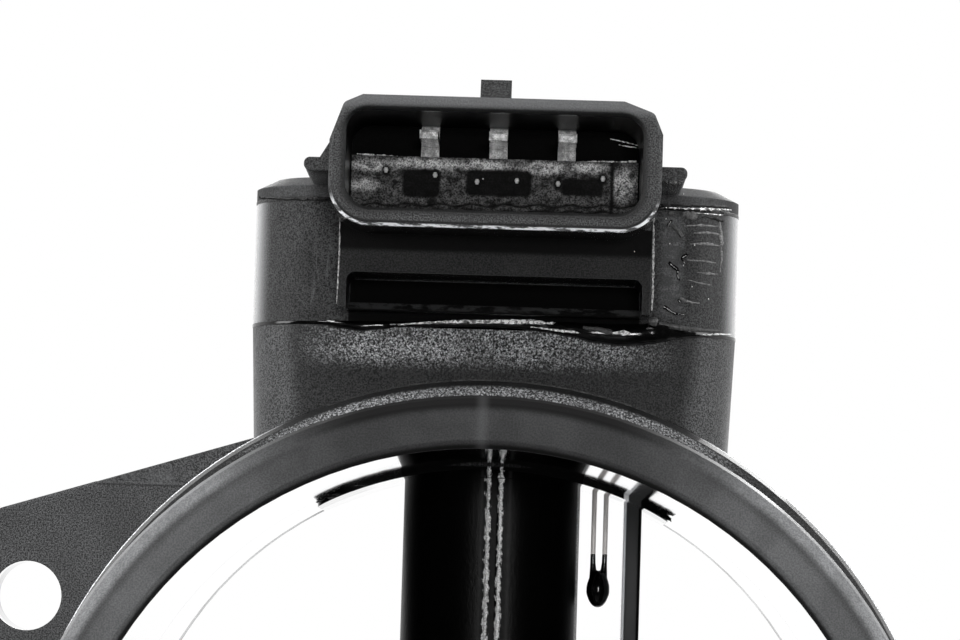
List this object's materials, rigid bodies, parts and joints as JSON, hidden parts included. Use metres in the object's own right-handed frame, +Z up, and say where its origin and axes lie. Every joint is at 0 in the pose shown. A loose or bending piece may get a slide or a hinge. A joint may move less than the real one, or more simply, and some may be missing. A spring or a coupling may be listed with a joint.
{
  "type": "mass airflow sensor",
  "caption": "Round plastic air tube with a flange and a hose spigot, carrying a glued electronics module with a rectangular connector and a sensing column across the bore.",
  "frame": {"origin": "centre of the bore on the flange's mounting face", "axes": "+Y along the bore from the hose end to the flange, +Z up to the electronics module, +X to the right seen from the hose end"},
  "size_m": [0.1082, 0.065, 0.1123],
  "materials": {
    "tube_plastic": "moulded, fine grain",
    "housing_plastic": "moulded, fine grain with scratches",
    "lid_plastic": "moulded, dull",
    "column_plastic": "moulded, glossy",
    "black_adhesive": "cured, glossy",
    "seal_rubber": "moulded",
    "tinned_metal": "tinned, dull",
    "lead_wire": "drawn wire",
    "bead_coat": "dipped, glossy",
    "plate_metal": "rolled",
    "fired_ceramic": "fired",
    "chip_body": "moulded",
    "filling_gel": "soft, clear"
  },
  "bodies": {
    "root": {"air_tube": "tube_plastic", "flange_seal": "seal_rubber", "module_housing": "housing_plastic", "module_lid": "lid_plastic", "lid_sealant": "black_adhesive", "joint_sealant": "black_adhesive", "bypass_front": "column_plastic", "bypass_back": "column_plastic", "hot_element": "fired_ceramic", "cold_element": "fired_ceramic", "temperature_bead": "bead_coat", "heat_sink_plate": "plate_metal", "circuit_substrate": "fired_ceramic", "potting_gel": "filling_gel", "terminal_left": "tinned_metal", "terminal_centre": "tinned_metal", "terminal_right": "tinned_metal", "element_pin_1": "tinned_metal", "element_pin_2": "tinned_metal", "element_pin_3": "tinned_metal", "element_pin_4": "tinned_metal", "temperature_lead_inner": "lead_wire", "temperature_lead_outer": "lead_wire", "control_chip": "chip_body", "supply_capacitor": "fired_ceramic", "output_capacitor": "fired_ceramic", "trim_resistor": "chip_body", "bridge_resistor": "chip_body"}
  },
  "joints": []
}
